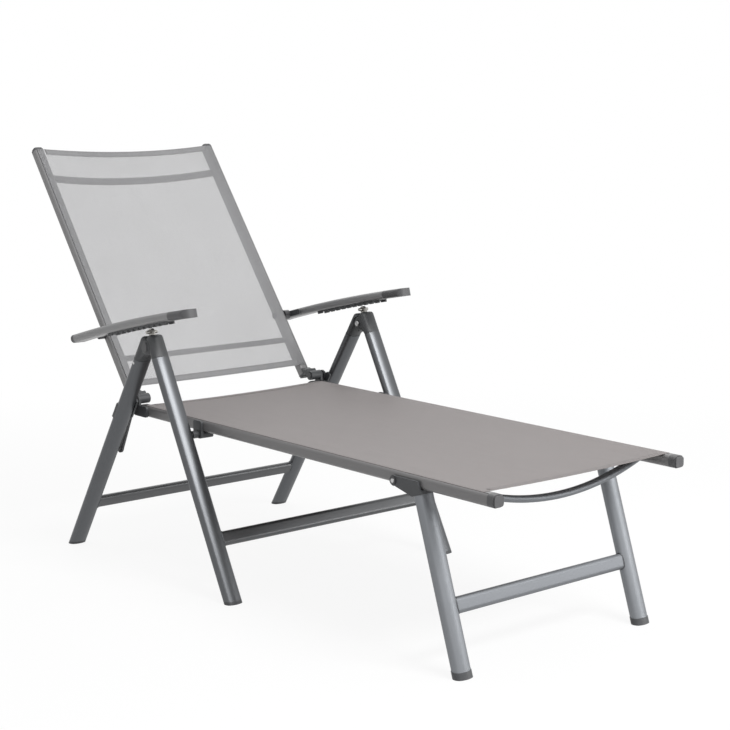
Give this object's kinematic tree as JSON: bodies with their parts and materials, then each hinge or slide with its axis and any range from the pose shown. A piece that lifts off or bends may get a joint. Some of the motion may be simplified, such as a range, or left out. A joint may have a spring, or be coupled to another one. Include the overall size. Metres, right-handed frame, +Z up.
{
  "type": "folding sun lounger",
  "caption": "Folding sun lounger with a sling seat, a reclining sling backrest, arched armrests, scissor frame legs and hinged foot legs.",
  "frame": {"origin": "middle of the floor area that the lounger covers, on the floor", "axes": "+Z up, +Y from the foot end to the head end, +X towards the sitter's left"},
  "size_m": [0.6914, 1.7016, 0.9873],
  "materials": {
    "rails": "satin, grey anodised",
    "legs": "satin, silver-grey anodised",
    "bars": "satin, grey anodised",
    "armrest": "satin, grey coated",
    "black_plastic": "moulded, fine grain",
    "grey_plastic": "moulded, fine grain",
    "steel": "zinc plated",
    "dark_steel": "dark coated",
    "seat_mesh": "woven, taupe grey",
    "back_mesh": "open woven, pale grey"
  },
  "bodies": {
    "seat_frame": {"seat_rail_left": "rails", "seat_rail_right": "rails", "rail_foot_caps": "grey_plastic", "rail_nose_caps": "black_plastic", "foot_bow_bar": "bars", "seat_rear_bar": "bars", "seat_sling": "seat_mesh", "frame_bracket_left": "black_plastic", "frame_bracket_right": "black_plastic", "hinge_plate_left": "black_plastic", "hinge_plate_right": "black_plastic"},
    "front_legs": {"front_leg_left": "legs", "front_leg_right": "legs", "front_crossbar": "bars", "front_knuckle_left": "black_plastic", "front_knuckle_right": "black_plastic", "armrest_post_left": "steel", "armrest_post_right": "steel", "front_foot_plugs": "black_plastic", "frame_pivot_bolts": "steel"},
    "rear_legs": {"rear_leg_left": "legs", "rear_leg_right": "legs", "rear_crossbar": "bars", "rear_knuckle_left": "black_plastic", "rear_knuckle_right": "black_plastic", "knuckle_covers": "grey_plastic", "knuckle_bolts": "steel", "rear_foot_plugs": "black_plastic", "rest_bracket_left": "black_plastic", "rest_bracket_right": "black_plastic"},
    "links": {"link_left": "dark_steel", "link_right": "dark_steel", "link_rivets": "steel"},
    "foot_legs": {"foot_leg_left": "legs", "foot_leg_right": "legs", "foot_crossbar": "legs", "foot_bracket_left": "black_plastic", "foot_bracket_right": "black_plastic", "foot_leg_caps": "black_plastic", "foot_leg_rivets": "steel"},
    "hinge_bolts": {"back_hinge_bolts": "dark_steel"},
    "backrest": {"back_rail_left": "rails", "back_rail_right": "rails", "head_bow_bar": "bars", "lumbar_bar": "bars", "back_sling": "back_mesh", "back_top_caps": "grey_plastic", "back_elbow_left": "black_plastic", "back_elbow_right": "black_plastic"},
    "arm_bolts": {"arm_pivot_bolts": "dark_steel"},
    "armrests": {"armrest_left": "armrest", "armrest_right": "armrest", "armrest_front_cap_left": "grey_plastic", "armrest_front_cap_right": "grey_plastic", "armrest_rear_caps": "grey_plastic", "armrest_rack_left": "black_plastic", "armrest_rack_right": "black_plastic", "arm_hinge_blocks": "black_plastic"}
  },
  "joints": [
    {"name": "frame_fold", "type": "hinge", "parent": "seat_frame", "child": "front_legs", "pos_m": [0, 0.10815, 0.351], "axis": [1, 0, 0], "range_deg": [0, 115]},
    {"name": "rear_leg_fold", "type": "hinge", "parent": "front_legs", "child": "rear_legs", "pos_m": [0, 0.22904, 0.54385], "axis": [1, 0, 0], "range_deg": [-61, 0]},
    {"name": "link_fold", "type": "hinge", "parent": "seat_frame", "child": "links", "pos_m": [0, 0.36415, 0.3965], "axis": [1, 0, 0], "range_deg": [-110, 0]},
    {"name": "back_fold", "type": "hinge", "parent": "hinge_bolts", "child": "seat_frame", "pos_m": [0, 0.36415, 0.3965], "axis": [1, 0, 0], "range_deg": [-110, 0]},
    {"name": "recline", "type": "hinge", "parent": "hinge_bolts", "child": "backrest", "pos_m": [0, 0.36415, 0.3965], "axis": [1, 0, 0], "range_deg": [-53, 17]},
    {"name": "armrest_fold", "type": "hinge", "parent": "backrest", "child": "arm_bolts", "pos_m": [0, 0.51218, 0.53928], "axis": [1, 0, 0], "range_deg": [-107, 0]},
    {"name": "armrest_tilt", "type": "hinge", "parent": "arm_bolts", "child": "armrests", "pos_m": [0, 0.51218, 0.53928], "axis": [1, 0, 0], "range_deg": [-10, 29]},
    {"name": "foot_leg_fold", "type": "hinge", "parent": "seat_frame", "child": "foot_legs", "pos_m": [0, -0.57285, 0.364], "axis": [1, 0, 0], "range_deg": [0, 105]}
  ],
  "couplings": [
    {"joint": "rear_leg_fold", "follows": "frame_fold", "ratio": -0.5235},
    {"joint": "link_fold", "follows": "frame_fold", "ratio": -0.953},
    {"joint": "back_fold", "follows": "frame_fold", "ratio": -0.955},
    {"joint": "armrest_fold", "follows": "frame_fold", "ratio": -0.925},
    {"joint": "armrest_tilt", "follows": "recline", "ratio": -0.53}
  ]
}
